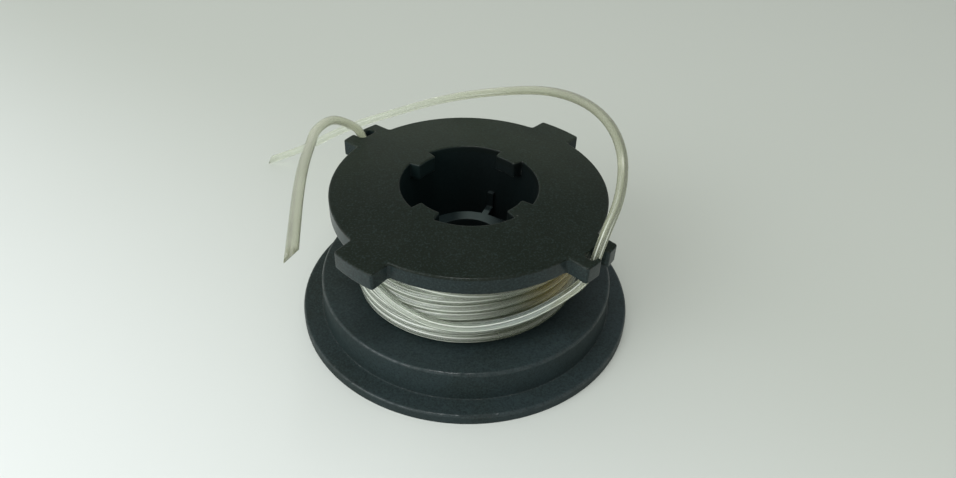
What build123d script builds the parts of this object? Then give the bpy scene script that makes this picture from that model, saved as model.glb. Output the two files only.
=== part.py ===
from build123d import *
import os
from math import hypot, radians, tan

# Trimmer line spool: one plastic moulding with a stepped lower flange, a hub
# and a lugged upper flange, wound with nylon line whose two ends come up
# through the slotted lugs and stand free.
# Millimetres. The origin is on the spool's axis, on the surface it stands on.

# Lower flange
rim_r = 45.0            # outer radius
rim_t = 2.8             # thickness of the flat rim
rim_w = 5.2             # width of the flat rim around the step
step_h = 8.4            # height of the step above the rim
step_draft = 3.0        # draft of the step's wall, degrees
shell_t = 2.4           # wall of the step and of its roof, hollow below
rim_round = 0.6         # rounding of the rim's outer edge
step_round = 0.7        # rounding of the step's top edge

# Hub
bore_r = 17.6           # inside of the hub, root circle of the drive teeth
hub_t = 2.6             # hub wall
floor_depth = 22.5      # from the bore's mouth down to the floor of the hub
floor_t = 2.4           # thickness of that floor
boss_r = 13.5           # ring boss on the floor, outside
boss_h = 4.0            # height of the boss and of its ribs
boss_round = 1.0        # rounding of the boss's outer edge
stem_r = 9.3            # hole through the boss
rib_count = 4           # ribs from the boss to the hub wall
rib_w = 1.8             # thickness of a rib
rib_turn = 69.0         # direction of the first rib, degrees from +X
rib_proud = 0.9         # how far a rib's upright stands off the hub wall
rib_rise = 4.5          # how far that upright goes on above the boss

# Upper flange, a shallow cone of even thickness
channel_h = 22.2        # clear height for the line between the flanges, at the edge
plate_t = 4.4           # thickness
plate_r = 35.4          # outer radius
crown = 1.2             # rise of the plate from its edge to the bore
plate_round = 0.4       # rounding of its upper edges

# Lugs on the upper flange and drive teeth in its bore, on the same diagonals
lug_count = 4
lug_turn = 50.5         # direction of the first lug, degrees from +X
lug_reach = 5.2         # how far a plain lug stands out from the flange's edge
slotted_reach = 5.5     # how far a slotted lug stands out from it
lug_w = 12.3            # width of a lug
lug_round = 0.7         # rounding of its outer corners
lug_root = 0.8          # fillet where it joins the flange
tooth_reach = 2.9       # height of a tooth above the root circle
tooth_angle = 24.0      # width of a tooth, degrees
tooth_round = 0.6       # rounding of its corners

# Line
line_d = 2.4            # diameter of the line
slot_clear = 0.3        # room on either side of the line in the mouth of a lug's slot
slot_play = 0.2         # room for the line between the slot's end and its hook
slot_side = 0.5         # middle of the mouth, sideways from the lug's middle
hook_t = 1.3            # thickness of the hook that holds the line in the slot
hook_reach = 2.0        # how far the slot runs on behind the hook
hook_round = 0.5        # rounding of the hook's inner corner
wind_depth = 10.2       # depth of the winding on the hub
wind_head = 0.6         # room left above the winding at the flange's edge

# Levels and radii that follow from the sizes above
roof_z = rim_t + step_h
step_r = rim_r - rim_w - step_h * tan(radians(step_draft))
edge_z = roof_z + channel_h + plate_t
mouth_z = edge_z + crown
floor_z = mouth_z - floor_depth
hub_r = bore_r + hub_t
tip_r = bore_r - tooth_reach
slope = crown / (plate_r - bore_r)
lug_r = plate_r + lug_reach
slotted_r = plate_r + slotted_reach
slot_w = line_d + 2 * slot_clear
slot_out = slotted_r - hook_t
slot_in = slot_out - line_d - slot_play
slot_mid = (slot_in + slot_out) / 2
wind_r = hub_r + wind_depth
wind_top = roof_z + channel_h - wind_head


def plate_top(r):
    """Height of the upper flange's top face at radius r."""
    return edge_z + (plate_r - r) * slope


def step_wall(z):
    """Radius of the step's outer wall at height z."""
    return step_r + (roof_z - z) * tan(radians(step_draft))


def turned(points, rounds=()):
    """Revolves a closed outline of (radius, height) points about the axis.

    rounds lists (radius, height, fillet) for the corners that are rounded.
    """
    outline = make_face(Plane.XZ * Polyline(*points, close=True))
    for r, z, fillet_r in rounds:
        corner = outline.vertices().sort_by_distance((r, 0, z))[0]
        outline = fillet(corner, fillet_r)
    return revolve(outline, axis=Axis.Z)


# Lower flange: a flat rim and a drafted step, hollow below with an even wall
roof_in_z = roof_z - shell_t
lower_flange = turned(
    [
        (step_wall(0) - shell_t, 0),
        (rim_r, 0),
        (rim_r, rim_t),
        (step_wall(rim_t), rim_t),
        (step_r, roof_z),
        (bore_r, roof_z),
        (bore_r, roof_in_z),
        (step_wall(roof_in_z) - shell_t, roof_in_z),
    ],
    rounds=[(rim_r, rim_t, rim_round), (step_r, roof_z, step_round)],
)

# Hub: a barrel between the flanges, closed by a floor with a ring boss
hub = turned(
    [
        (bore_r, roof_in_z),
        (hub_r, roof_in_z),
        (hub_r, plate_top(hub_r) - plate_t / 2),
        (bore_r, plate_top(bore_r) - plate_t / 2),
        (bore_r, floor_z),
        (boss_r, floor_z),
        (boss_r, floor_z + boss_h),
        (stem_r, floor_z + boss_h),
        (stem_r, floor_z - floor_t),
        (bore_r, floor_z - floor_t),
    ],
    rounds=[(boss_r, floor_z + boss_h, boss_round)],
)

# Ribs: radial webs from the boss to the wall, each with a low upright on the wall
web_len = (bore_r + hub_r) / 2 - (boss_r + stem_r) / 2
web = Pos((boss_r + stem_r) / 2, 0, floor_z) * Box(
    web_len, rib_w, boss_h, align=(Align.MIN, Align.CENTER, Align.MIN)
)
upright = Pos(bore_r - rib_proud, 0, floor_z) * Box(
    rib_proud + hub_t / 2,
    rib_w,
    boss_h + rib_rise,
    align=(Align.MIN, Align.CENTER, Align.MIN),
)
ribs = [
    Rot(0, 0, rib_turn + k * 360 / rib_count) * (web + upright) for k in range(rib_count)
]


def on_circle(sketch, *radii):
    """The corners of a sketch that lie on circles of these radii about the axis."""
    return [
        v
        for v in sketch.vertices()
        if any(abs(hypot(v.X, v.Y) / r - 1) < 1e-5 for r in radii)
    ]


# Slot for the line: a mouth in the lug's outer end that turns aside behind a hook
far_side = slot_side + slot_w / 2
hook_side = slot_side - slot_w / 2
corners = [
    (slot_in, far_side),
    (slot_in, hook_side - hook_reach),
    (slot_out, hook_side - hook_reach),
    (slot_out, hook_side),
]
slot = make_face(
    Polyline(
        *corners,
        (slotted_r + slotted_reach, hook_side),
        (slotted_r + slotted_reach, far_side),
        close=True,
    )
)
for corner, fillet_r in zip(corners, 3 * [0.45 * (slot_out - slot_in)] + [hook_round]):
    slot = fillet(slot.vertices().sort_by_distance(corner)[0], fillet_r)

# Upper flange in plan: a disc with lugs, every second one slotted; the bore has
# inward drive teeth
plan = Circle(plate_r)
for k in range(lug_count):
    end_r = slotted_r if k % 2 == 1 else lug_r
    lug = Rectangle(end_r, lug_w, align=(Align.MIN, Align.CENTER)) & Circle(end_r)
    if k % 2 == 1:
        lug -= slot
    plan += Rot(0, 0, lug_turn + k * 360 / lug_count) * lug
plan = fillet(on_circle(plan, lug_r, slotted_r), lug_round)
plan = fillet(on_circle(plan, plate_r), lug_root)

bore = Circle(bore_r)
tooth_edge = 2 * bore_r * tan(radians(tooth_angle / 2))
for k in range(lug_count):
    tooth = make_face(
        Polyline((0, 0), (2 * bore_r, -tooth_edge), (2 * bore_r, tooth_edge), close=True)
    )
    bore -= Rot(0, 0, lug_turn + k * 360 / lug_count) * (tooth - Circle(tip_r))
bore = fillet(on_circle(bore, tip_r), tooth_round)

# The plan cut through a turned cone of even thickness gives flange, lugs and teeth
cone = turned(
    [
        (tip_r / 2, plate_top(tip_r / 2) - plate_t),
        (slotted_r + slotted_reach, plate_top(slotted_r + slotted_reach) - plate_t),
        (slotted_r + slotted_reach, plate_top(slotted_r + slotted_reach)),
        (tip_r / 2, plate_top(tip_r / 2)),
    ]
)
tall = Pos(0, 0, roof_z) * extrude(plan - bore, 2 * (mouth_z - roof_z))
upper_flange = cone & tall
top_face = upper_flange.faces().filter_by(GeomType.CONE).sort_by(Axis.Z)[-1]
walls = upper_flange.faces() - ShapeList([top_face])
upper_flange = fillet(top_face.edges() & walls.edges(), plate_round)

spool_body = (lower_flange + hub + upper_flange + ribs).clean()

# Winding: the coil's outer shape, seated on the hub and on the step's roof
line_winding = turned(
    [(hub_r, roof_z), (wind_r, roof_z), (wind_r, wind_top), (hub_r, wind_top)],
    rounds=[(wind_r, roof_z, line_d / 2), (wind_r, wind_top, line_d / 2)],
)

# Free ends of the line: each lies on the winding on its way to its slotted lug,
# passes up through the slot and springs away.
# On the winding: gap to it, degrees before the lug, height above the step's roof
right_lay = [(0.1, 42.5, 7.7), (1.5, 25.7, 9.2), (3.2, 8.2, 11.4)]
left_lay = [(0.1, 42.5, 7.7), (1.5, 25.7, 8.7), (3.3, 9.8, 10.2)]
# From the slot on: outward from its middle, sideways, height as a share of the
# height of the upper flange's edge
right_spring = [
    (0.0, -0.4, 0.799),
    (0.5, 0.5, 1.098),
    (1.1, 5.9, 1.360),
    (-4.7, 13.5, 1.553),
    (-17.6, 22.2, 1.579),
    (-35.5, 29.8, 1.452),
    (-55.5, 33.5, 1.214),
    (-75.9, 32.5, 0.966),
    (-93.9, 27.1, 0.701),
    (-109.7, 19.4, 0.468),
    (-121.7, 11.6, 0.212),
    (-133.9, 4.9, 0.034),
]
left_spring = [
    (-1.0, -0.3, 0.746),
    (2.2, 0.6, 1.074),
    (0.6, 12.2, 1.259),
    (-5.7, 21.3, 1.328),
    (-15.4, 30.7, 1.458),
    (-26.3, 41.1, 1.561),
    (-37.7, 51.6, 1.643),
    (-49.6, 61.2, 1.717),
    (-60.3, 70.5, 1.844),
]


def route_points(lug, lay, spring):
    """The route of the line's end that leaves through the slot of lug number lug."""
    turn = lug_turn + lug * 360 / lug_count
    on_wind = [
        Rot(0, 0, turn - before) * Pos(wind_r + line_d / 2 + gap, 0, roof_z + rise)
        for gap, before, rise in lay
    ]
    from_slot = [
        Rot(0, 0, turn) * Pos(slot_mid + out, side, share * edge_z)
        for out, side, share in spring
    ]
    return [place.position for place in on_wind + from_slot]


def line_end(points):
    """A length of line along straight runs joined by arcs as large as they allow."""
    radii = []
    for a, b, c in zip(points, points[1:], points[2:]):
        turn = (b - a).get_angle(c - b)
        radii.append(0.45 * min((b - a).length, (c - b).length) / tan(radians(turn / 2)))
    route = FilletPolyline(*points, radius=radii)
    section = Plane(origin=route @ 0, z_dir=route % 0) * Circle(line_d / 2)
    tube = sweep(section, path=route)
    print("line end: length", round(route.length, 1), "radii", [round(r, 1) for r in radii])
    print("   volume over section times length", round(tube.volume / (section.area * route.length), 5))
    return tube


line_tail_right = line_end(route_points(3, right_lay, right_spring))
line_tail_left = line_end(route_points(1, left_lay, left_spring))

os.makedirs("parts", exist_ok=True)
export_step(spool_body, "parts/spool_body.step")
export_step(line_winding, "parts/line_winding.step")
export_step(line_tail_right, "parts/line_tail_right.step")
export_step(line_tail_left, "parts/line_tail_left.step")
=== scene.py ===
import math

import bmesh
import bpy
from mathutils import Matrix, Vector


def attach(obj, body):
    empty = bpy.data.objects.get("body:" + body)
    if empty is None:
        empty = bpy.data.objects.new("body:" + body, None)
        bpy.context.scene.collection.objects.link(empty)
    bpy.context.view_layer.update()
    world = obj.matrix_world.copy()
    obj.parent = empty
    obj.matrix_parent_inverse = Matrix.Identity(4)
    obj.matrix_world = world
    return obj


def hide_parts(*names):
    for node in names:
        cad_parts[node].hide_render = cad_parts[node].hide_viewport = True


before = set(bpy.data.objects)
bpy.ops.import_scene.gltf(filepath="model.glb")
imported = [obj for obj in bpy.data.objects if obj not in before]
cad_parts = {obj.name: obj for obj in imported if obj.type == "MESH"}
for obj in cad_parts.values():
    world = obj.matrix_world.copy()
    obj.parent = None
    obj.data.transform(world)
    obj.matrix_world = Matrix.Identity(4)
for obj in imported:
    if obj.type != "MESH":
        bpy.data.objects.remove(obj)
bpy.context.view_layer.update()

# Spool body. One moulding in black glass-filled nylon: both flanges, the hub and
# its floor come out of the mould together. The faces have a fine grain, and the edges
# show bright nicks where line and drive have rubbed. Light and shade are also painted
# into its colour: the bore is painted darker, the top face darker with a painted sheen
# to the back, the lower flange lighter and darker on its left, and the boss ring and
# every edge carry a painted highlight.


class Wire:
    """A shader socket that can stand in a sum; each sum adds its Math node."""

    def __init__(self, finish, socket):
        self.finish, self.socket = finish, socket

    def _sum(self, operation, first, second):
        return self.finish.node("Math", {"operation": operation}, {0: first, 1: second})

    def __add__(self, other):
        return self._sum("ADD", self, other)

    def __sub__(self, other):
        return self._sum("SUBTRACT", self, other)

    def __rsub__(self, other):
        return self._sum("SUBTRACT", other, self)

    def __mul__(self, other):
        return self._sum("MULTIPLY", self, other)

    __radd__ = __add__
    __rmul__ = __mul__

    def __abs__(self):
        return self.finish.node("Math", {"operation": "ABSOLUTE"}, {0: self})

    def along(self, axis):
        """One of the parts X, Y and Z of a vector."""
        return self.finish.node("SeparateXYZ", {}, {0: self}, out=axis)

    def ramp(self, low, high):
        """0 at low, 1 at high, smooth between; high may be the smaller one."""
        return self.finish.node(
            "MapRange",
            {"interpolation_type": "SMOOTHSTEP"},
            {"Value": self, "From Min": low, "From Max": high},
        )


class Finish:
    """The node tree of a material or world, made node by node."""

    def __init__(self, owner):
        self.owner = owner
        owner.use_nodes = True
        owner.node_tree.nodes.clear()

    def node(self, kind, settings, sockets, out=0):
        tree = self.owner.node_tree
        made = tree.nodes.new("ShaderNode" + kind)
        for name, value in settings.items():
            setattr(made, name, value)
        for name, value in sockets.items():
            if isinstance(value, Wire):
                tree.links.new(value.socket, made.inputs[name])
            else:
                made.inputs[name].default_value = value
        return Wire(self, made.outputs[out]) if made.outputs else None

    def place(self, coordinates="Object"):
        return self.node("TexCoord", {}, {}, out=coordinates)

    def from_axis(self, place):
        """Distance from the spool's axis."""
        flat = self.node("Mapping", {}, {"Vector": place, "Scale": (1.0, 1.0, 0.0)})
        return self.node("VectorMath", {"operation": "LENGTH"}, {0: flat}, out="Value")

    def noise(self, place, scale, detail=2.0, roughness=0.5):
        return self.node(
            "TexNoise",
            {},
            {"Vector": place, "Scale": scale, "Detail": detail, "Roughness": roughness},
        )

    def blend(self, share, first, second):
        """Colour first where share is 0, colour second where it is 1."""
        return self.node(
            "Mix", {"data_type": "RGBA"}, {0: share, 6: first, 7: second}, out=2
        )

    def shader(self, **sockets):
        """A Principled shader; its sockets are named in small letters."""
        names = {name.replace("_", " ").title(): value for name, value in sockets.items()}
        names = {name.replace("Ior", "IOR"): value for name, value in names.items()}
        return self.node("BsdfPrincipled", {}, names)

    def end(self, shader):
        """Joins the shader to the output and gives back the finished material."""
        self.node("OutputMaterial", {}, {"Surface": shader})
        return self.owner


plastic = Finish(bpy.data.materials.new("black_moulded_plastic"))
edge_reach = 0.0006  # how far wear goes in from an edge
body_at = plastic.place()
body_x, body_y, body_z = (body_at.along(axis) for axis in "XYZ")
body_r = plastic.from_axis(body_at)
bare = plastic.node("NewGeometry", {}, {}, out="Normal")
flat = abs(bare.along("Z"))  # 1 on a level face, 0 on an upright one
rounded = plastic.node("Bevel", {"samples": 6}, {"Radius": edge_reach})
facing = plastic.node(
    "VectorMath", {"operation": "DOT_PRODUCT"}, {0: bare, 1: rounded}, out="Value"
)

# places on the body
upper = body_z.ramp(0.020, 0.032)
top = body_z.ramp(0.0370, 0.0374)
inside = body_r.ramp(0.0188, 0.0181)
deep = inside * body_z.ramp(0.030, 0.026)
upright = flat.ramp(0.8, 0.4)
# painted shade: the bore's upright walls, and in part its floor, are drawn darker
bore_shade = inside * (upright + (1 - upright) * deep * 0.6)
# painted highlight: the top of the boss ring in the bore is drawn lighter in a stretch near its
# middle, where light from above would shine on it
boss_face = body_r.ramp(0.0150, 0.0142) * bare.along("Z").ramp(0.85, 0.97) * (1 - upper)
boss_highlight = boss_face * body_x.ramp(-0.0045, 0.0005) * body_x.ramp(0.0100, 0.0030)
# painted shade: the lower flange is drawn darker and greener on its left, more so towards the
# back
left_shade = body_x.ramp(-0.012, -0.040) * (1 - upper)
left_shade = left_shade * (0.4 + body_y.ramp(-0.022, 0.0) * 0.4)
plate_wall = flat.ramp(0.5, 0.2) * body_r.ramp(0.030, 0.034) * upper
plate_wall = plate_wall * body_y.ramp(0.021, 0.014)

# grain of the mould, and wear with a painted highlight on the edges
grain = plastic.noise(body_at, 2000.0, detail=2.0, roughness=0.6)
cloud = plastic.noise(body_at, 85.0, detail=5.0, roughness=0.65)
scuff = plastic.noise(body_at, 520.0, detail=3.0, roughness=0.7)
cell = plastic.node("TexVoronoi", {}, {"Vector": body_at, "Scale": 380.0})
fleck = (1 - cell.ramp(0.05, 0.14)) * cloud.ramp(0.58, 0.68)
edge = (1 - facing).ramp(0.02, 0.22)
nick = edge * scuff.ramp(0.54, 0.70)
# real wear in the bright nicks, and a painted highlight in the faint lightening along every edge
edge_wear_and_highlight = (edge * 0.07 + nick * 0.5) * (1 - deep)
tilt = rounded.along("Z")
rounding = tilt.ramp(0.985, 0.93) * tilt.ramp(0.10, 0.25) * (1 - deep)
edge_gloss = rounding * scuff.ramp(0.25, 0.6) * (0.60 - upper * 0.35)
wall_gloss = plate_wall * (0.12 + abs(bare.along("X")).ramp(0.3, 0.8) * 0.35)

# painted light: the lower flange is drawn lighter and bluer than the plate above it, though the
# body is one moulding
lower_lit_black = (0.0190, 0.0300, 0.0325, 1)
plate_black = (0.0115, 0.0205, 0.0215, 1)
left_shade_black = (0.0085, 0.0150, 0.0120, 1)
# painted shade and sheen: the top face is drawn darker and greener, and lighter towards the back
# as a painted sheen
top_shade_black = (0.0008, 0.0050, 0.0010, 1)
rear_sheen_grey = (0.027, 0.038, 0.022, 1)
cloud_black = (0.0095, 0.0140, 0.0100, 1)
grain_light = (0.0250, 0.0420, 0.0420, 1)
grain_dark = (0.0010, 0.0036, 0.0026, 1)
bore_shade_black = (0.0016, 0.0040, 0.0042, 1)
bore_left_lit_black = (0.0060, 0.0150, 0.0155, 1)
boss_highlight_grey = (0.090, 0.115, 0.110, 1)
worn_and_highlight_grey = (0.125, 0.130, 0.122, 1)
fleck_grey = (0.10, 0.105, 0.095, 1)
# painted shade of the bore, drawn lighter towards the left
bore_shade_colour = plastic.blend(body_x.ramp(0.004, -0.014), bore_shade_black, bore_left_lit_black)
body_colour = plastic.blend(upper, lower_lit_black, plate_black)
for share, colour in (
    (left_shade, left_shade_black),
    (top, top_shade_black),
    (top * body_y.ramp(-0.012, 0.030) * 0.4, rear_sheen_grey),
    (cloud.ramp(0.35, 0.75) * 0.40, cloud_black),
    (grain.ramp(0.48, 0.70) * (0.55 - top * 0.20), grain_light),
    (grain.ramp(0.50, 0.32) * 0.35, grain_dark),
    (bore_shade * 0.85, bore_shade_colour),
    (boss_highlight * 0.7, boss_highlight_grey),
    (edge_wear_and_highlight, worn_and_highlight_grey),
    (fleck * 0.35, fleck_grey),
):
    body_colour = plastic.blend(share, body_colour, colour)
body_relief = plastic.node(
    "Bump",
    {},
    {"Strength": 0.30, "Distance": 0.0001, "Height": grain + cloud * 0.5, "Normal": rounded},
)
spool_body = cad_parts["spool_body"]
spool_body.data.materials.clear()
spool_body.data.materials.append(
    plastic.end(
        plastic.shader(
            base_color=body_colour,
            roughness=0.46 + cloud * 0.16 + grain * 0.08 - edge_wear_and_highlight * 0.15,
            specular_ior_level=0.17,
            coat_weight=edge_gloss + wall_gloss,
            coat_roughness=0.18,
            normal=body_relief,
        )
    )
)

# Line. One length of round translucent nylon, folded at the hub and wound as two
# halves side by side in four layers. Each half ends in a cut tip: it comes down
# over the outer layer, goes up through the slot of a lug and springs away.
line_d = 0.0024
hub_r = 0.0202
roof = 0.0112  # height of the lower flange's roof, under the lowest turn
layer_t = 0.00258  # from one layer to the next
climb = 0.0190  # from the lowest turn to the highest
crowding = 1.1  # over 1, the outer layer's turns lie closer at the bottom
sway = 0.0008  # slow rise and fall of the outer layer's turns
ripple = 0.00013  # small unevenness between them
steps = 16  # points in one turn
step = 2 * math.pi / steps
reach = 1 / (0.75 + 0.25 * math.cos(step))  # control points stand outside the curve
layer_steps = (62, 62, 62, 58)  # points in each layer
change_steps = 3  # points in the move from one layer to the next


def ease(share):
    return share * share * (3 - 2 * share)


def wound_points(start):
    """Control points of one half on the hub, from its first turn to its last layer."""
    points, azimuth = [], start
    low = roof + line_d / 2

    def add(radius, height):
        points.append(
            (radius * reach * math.cos(azimuth), radius * reach * math.sin(azimuth), height)
        )

    for layer, count in enumerate(layer_steps):
        radius = hub_r + line_d / 2 + layer * layer_t
        rising = layer % 2 == 1
        outer = layer == len(layer_steps) - 1
        for k in range(count):
            share = k / count if rising else 1 - k / count
            height = low + climb * share
            if outer:
                # three slow waves in a turn, and a finer one that sets in from the bottom
                height = low + climb * share**crowding
                height += sway * math.sin(math.pi * share) * math.sin(3 * azimuth - 1.3)
                height += ripple * math.sin(13 * share + 2 * azimuth) * ease(min(1, 6 * share))
            add(radius, height)
            azimuth += step
        for k in range(change_steps):
            add(radius + layer_t * ease(k / change_steps), low + climb * rising)
            azimuth += step
    return points


def turned_points(points, radius, angle):
    """(azimuth in degrees, height) points on a cylinder, turned about its axis."""
    return [
        (
            radius * math.cos(math.radians(azimuth + angle)),
            radius * math.sin(math.radians(azimuth + angle)),
            height,
        )
        for azimuth, height in points
    ]


# the last stretch over the outer layer, down from the top towards the front
over_r = 0.0318
over_layer = [
    (-390, 0.0314),
    (-367.5, 0.0314),
    (-345, 0.0314),
    (-322.5, 0.0312),
    (-300, 0.0304),
    (-277.5, 0.0295),
    (-255, 0.0293),
    (-232.5, 0.0297),
    (-210, 0.0296),
    (-187.5, 0.0291),
    (-165, 0.0281),
    (-143, 0.0249),
    (-125, 0.0214),
    (-108, 0.0194),
    (-95, 0.0189),
]
wound_steps = sum(layer_steps) + change_steps * len(layer_steps)
wound_angle = math.radians(over_layer[0][0]) - step * wound_steps
right_route = [
    (0.0044, -0.0314, 0.0190),
    (0.0139, -0.0294, 0.0205),
    (0.0228, -0.0250, 0.0229),
    (0.0292, -0.0246, 0.0300),
    (0.0306, -0.0245, 0.0415),
    (0.0342, -0.0205, 0.0514),
    (0.0345, -0.0110, 0.0587),
    (0.0301, 0.0040, 0.0597),
    (0.0211, 0.0212, 0.0549),
    (0.0080, 0.0368, 0.0459),
    (-0.0083, 0.0490, 0.0365),
    (-0.0257, 0.0563, 0.0265),
    (-0.0428, 0.0604, 0.0177),
    (-0.0570, 0.0620, 0.0080),
    (-0.0707, 0.0646, 0.0013),
]
left_route = [
    (-0.0044, 0.0314, 0.0189),
    (-0.0139, 0.0300, 0.0199),
    (-0.0228, 0.0265, 0.0214),
    (-0.0286, 0.0240, 0.0282),
    (-0.0307, 0.0253, 0.0381),
    (-0.0341, 0.0220, 0.0424),
    (-0.0367, 0.0149, 0.0475),
    (-0.0384, 0.0031, 0.0510),
    (-0.0371, -0.0089, 0.0541),
    (-0.0360, -0.0214, 0.0569),
    (-0.0343, -0.0349, 0.0588),
    (-0.0321, -0.0484, 0.0607),
    (-0.0298, -0.0614, 0.0634),
]


def line_curve(name, points, thickness):
    """A smooth spline along the route, as a tube if it has a thickness."""
    curve = bpy.data.curves.new(name, "CURVE")
    curve.dimensions = "3D"
    curve.resolution_u = 6
    curve.bevel_depth = thickness / 2
    curve.bevel_resolution = 6
    curve.use_fill_caps = True
    spline = curve.splines.new("NURBS")
    spline.points.add(len(points) - 1)
    for point, place in zip(spline.points, points):
        point.co = (*place, 1)
    spline.order_u = 3
    spline.use_endpoint_u = True
    curve_object = bpy.data.objects.new(name, curve)
    bpy.context.scene.collection.objects.link(curve_object)
    mesh = bpy.data.meshes.new_from_object(
        curve_object.evaluated_get(bpy.context.evaluated_depsgraph_get())
    )
    bpy.data.objects.remove(curve_object)
    bpy.data.curves.remove(curve)
    return mesh


def line_half(name, points, back, cut):
    """One half of the line, its tip cut off by a slanted plane a little way back."""
    centre = line_curve(name + "_centre", points, 0)
    path = [v.co.copy() for v in centre.vertices]
    bpy.data.meshes.remove(centre)
    mesh = line_curve(name, points, line_d)
    mesh.name = name
    tip, along = path[-1], (path[-1] - path[-2]).normalized()
    tip_zone = 4 * line_d
    shape = bmesh.new()
    shape.from_mesh(mesh)
    near = [f for f in shape.faces if (f.calc_center_median() - tip).length < tip_zone]
    near_edges = dict.fromkeys(e for f in near for e in f.edges)
    near_corners = dict.fromkeys(v for f in near for v in f.verts)
    bmesh.ops.bisect_plane(
        shape,
        geom=[*near, *near_edges, *near_corners],
        plane_co=tip - along * back,
        plane_no=Vector(cut).normalized(),
        clear_outer=True,
    )
    bmesh.ops.holes_fill(shape, edges=[e for e in shape.edges if e.is_boundary], sides=0)
    for face in shape.faces:
        face.smooth = len(face.verts) <= 4
    shape.to_mesh(mesh)
    shape.free()
    piece = bpy.data.objects.new(name, mesh)
    bpy.context.scene.collection.objects.link(piece)
    return piece, path


nylon = Finish(bpy.data.materials.new("clear_nylon_line"))
line_at = nylon.place()
line_x, line_y, line_z = (line_at.along(axis) for axis in "XYZ")
unrolled = nylon.place("UV")  # X runs from the hub to the tip, Y around the line

# stretches of the line
wound = line_z.ramp(0.0345, 0.0335) * nylon.from_axis(line_at).ramp(0.0345, 0.0335)
older = unrolled.along("X").ramp(0.942, 0.936)  # all but the crossing strand and the free end
right = line_x.ramp(-0.007, 0.012)
slot_end = line_z.ramp(0.049, 0.042) * right * (1 - wound)
left_arch = line_x.ramp(-0.025, -0.032) * line_y.ramp(-0.014, 0.002) * line_z.ramp(0.036, 0.040)
right_arch = line_x.ramp(0.014, 0.028) * line_z.ramp(0.036, 0.044)
far_end = line_y.ramp(0.035, 0.060)
# painted shade: the winding's upper right, in shade under the right lug, is drawn amber and less
# glossy, as where light comes through the line
amber_shade = line_x.ramp(0.010, 0.024) * line_y.ramp(-0.006, -0.016)
amber_shade = amber_shade * line_z.ramp(0.0165, 0.0215) * older

# painted highlights: fine light streaks that run lengthwise, drawn with a milky shader, strongest
# on the winding away from its shaded right side, and near the right slot
drawn = nylon.node(
    "TexWave",
    {"bands_direction": "Y"},
    {"Vector": unrolled, "Scale": 1.885, "Phase Offset": 2.0},
    out="Fac",
)
highlight_streak = drawn.ramp(0.80, 0.98) * (0.03 + slot_end * 0.5 + wound * (1 - right * older) * 0.62)

haze = nylon.noise(line_at, 60.0, detail=2.0)
clear_nylon = (0.53, 0.55, 0.42, 1)
hazy_nylon = (0.60, 0.62, 0.49, 1)
far_nylon = (0.64, 0.67, 0.57, 1)
# painted light and shade: the left arch of the free end is drawn lighter, the right arch darker
left_arch_lit_nylon = (0.72, 0.74, 0.58, 1)
right_arch_shaded_nylon = (0.44, 0.455, 0.345, 1)
wound_nylon = (0.74, 0.79, 0.69, 1)
crossing_nylon = (0.68, 0.75, 0.71, 1)
shaded_nylon = (0.36, 0.40, 0.29, 1)
amber_shade_nylon = (0.74, 0.63, 0.26, 1)
milky_highlight_nylon = (0.90, 0.93, 0.84, 1)
line_colour = nylon.blend(haze.ramp(0.35, 0.7), clear_nylon, hazy_nylon)
for share, colour in (
    (far_end, far_nylon),
    (left_arch, left_arch_lit_nylon),
    (right_arch, right_arch_shaded_nylon),
    (wound, wound_nylon),
    (right * wound * (1 - older), crossing_nylon),
    (right * older, shaded_nylon),
    (amber_shade * 0.9, amber_shade_nylon),
):
    line_colour = nylon.blend(share, line_colour, colour)
clear = nylon.shader(
    base_color=line_colour,
    roughness=0.20 + haze * 0.10,
    transmission_weight=0.78,
    ior=1.53,
    coat_weight=0.12 + wound * 0.38 - amber_shade * 0.40 - right_arch * 0.10,
    coat_roughness=0.05,
)
milky_highlight = nylon.shader(base_color=milky_highlight_nylon, roughness=0.30)
thread = nylon.node("MixShader", {}, {0: highlight_streak, 1: clear, 2: milky_highlight})

# the free ends let light through, so their shadows are pale
shadow_ray = nylon.node("LightPath", {}, {}, out="Is Shadow Ray")
let_through = (1 - wound) * (0.5 + line_y.ramp(0.030, 0.055) * 0.4)
lit = nylon.node("BsdfTransparent", {}, {})
line_finish = nylon.end(
    nylon.node("MixShader", {}, {0: shadow_ray * let_through, 1: thread, 2: lit})
)

for name, tail, angle, route, back, cut in (
    ("line_half_right", "line_tail_right", 0, right_route, 0.0009, (-0.82, -0.06, 0.39)),
    ("line_half_left", "line_tail_left", 180, left_route, 0.0022, (0.70, -0.33, -0.63)),
):
    points = (
        wound_points(wound_angle + math.radians(angle))
        + turned_points(over_layer, over_r, angle)
        + route
    )
    line, path = line_half(name, points, back, cut)
    line.data.materials.clear()
    line.data.materials.append(line_finish)
    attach(line, "root")
    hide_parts("line_winding", tail)
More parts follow.
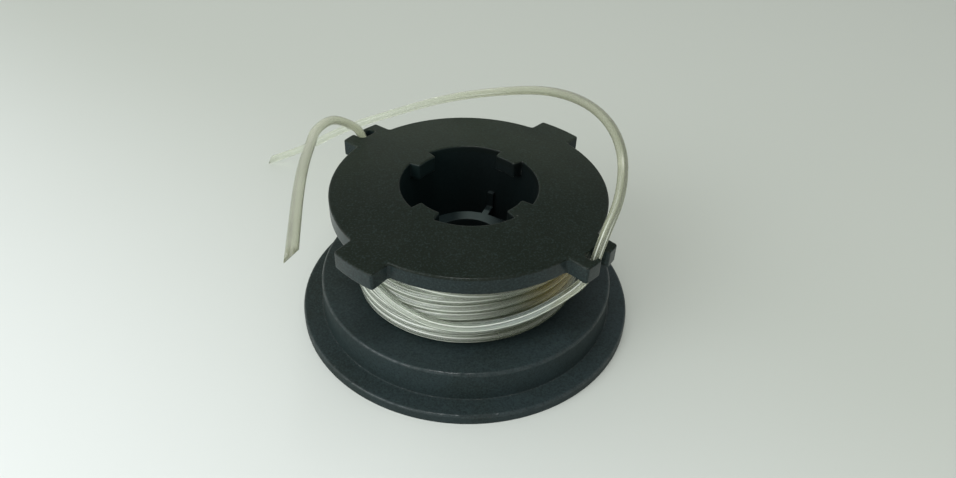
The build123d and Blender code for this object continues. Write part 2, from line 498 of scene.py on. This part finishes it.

# Floor. A plain pale sheet of matt board that the spool stands on; its colour holds
# painted light, whiter towards the window and greyer away from it. It only takes the
# shadow and is no part of the spool.
floor_mesh = bpy.data.meshes.new("floor")
floor_shape = bmesh.new()
bmesh.ops.create_grid(floor_shape, x_segments=1, y_segments=1, size=3.0)
floor_shape.to_mesh(floor_mesh)
floor_shape.free()
floor = bpy.data.objects.new("floor", floor_mesh)
bpy.context.scene.collection.objects.link(floor)
board = Finish(bpy.data.materials.new("pale_board"))
board_at = board.place()
from_window = board_at.along("X") * 0.35 + board_at.along("Y") * 0.5
window_lit_white = (0.86, 0.885, 0.88, 1)
falloff_grey = (0.50, 0.525, 0.48, 1)
mottle_grey = (0.40, 0.42, 0.38, 1)
# painted light: the board is drawn whiter near the window and greyer away from it
sheet = board.blend(from_window.ramp(-0.11, 0.04), window_lit_white, falloff_grey)
mottle = board.noise(board_at, 14.0, detail=3.0)
floor.data.materials.append(
    board.end(
        board.shader(base_color=board.blend(mottle * 0.06, sheet, mottle_grey), roughness=0.8)
    )
)

# Light. A pale room, brighter near the horizon than above, with soft daylight from
# a wide panel at the left and a smaller panel at the ceiling, as in a plain studio.
room = Finish(bpy.data.worlds.new("pale_room"))
bpy.context.scene.world = room.owner
towards = room.place("Generated")
horizon = (0.95, 0.97, 0.94, 1)
overhead = (0.52, 0.53, 0.53, 1)
dim_side = (0.30, 0.31, 0.30, 1)
walls = room.blend(towards.along("Z").ramp(0.48, 0.72), horizon, overhead)
walls = room.blend(towards.along("X").ramp(-0.6, 0.9) * 0.7, walls, dim_side)
room.node(
    "OutputWorld", {}, {"Surface": room.node("Background", {}, {"Color": walls, "Strength": 1.0})}
)
aim = Vector((0, 0, 0.02))
for name, stand, size, power, tint in (
    ("window_panel", (-0.70, -0.50, 0.50), 0.8, 4.6, (0.93, 0.99, 1.0)),
    ("ceiling_lamp", (-0.05, -0.20, 1.0), 0.35, 3.6, (0.98, 1.0, 0.98)),
):
    lamp = bpy.data.lights.new(name, "AREA")
    lamp.shape = "DISK"
    lamp.size = size
    lamp.energy = power
    lamp.color = tint
    panel = bpy.data.objects.new(name, lamp)
    panel.location = stand
    panel.rotation_euler = (aim - Vector(stand)).to_track_quat("-Z", "Y").to_euler()
    bpy.context.scene.collection.objects.link(panel)

# Camera. A hand-held view from the front, looking down at about 39 degrees with a
# slight tilt to one side.
lens = bpy.data.cameras.new("camera")
lens.sensor_width = 36.0
lens.lens = 28.457
lens.clip_start, lens.clip_end = 0.01, 20.0
camera = bpy.data.objects.new("camera", lens)
camera.location = (0.0, -0.15851, 0.14746)
camera.rotation_euler = [math.radians(a) for a in (51.360, -1.967, 0.562)]
bpy.context.scene.collection.objects.link(camera)
bpy.context.scene.camera = camera
bpy.context.scene.view_settings.view_transform = "Standard"
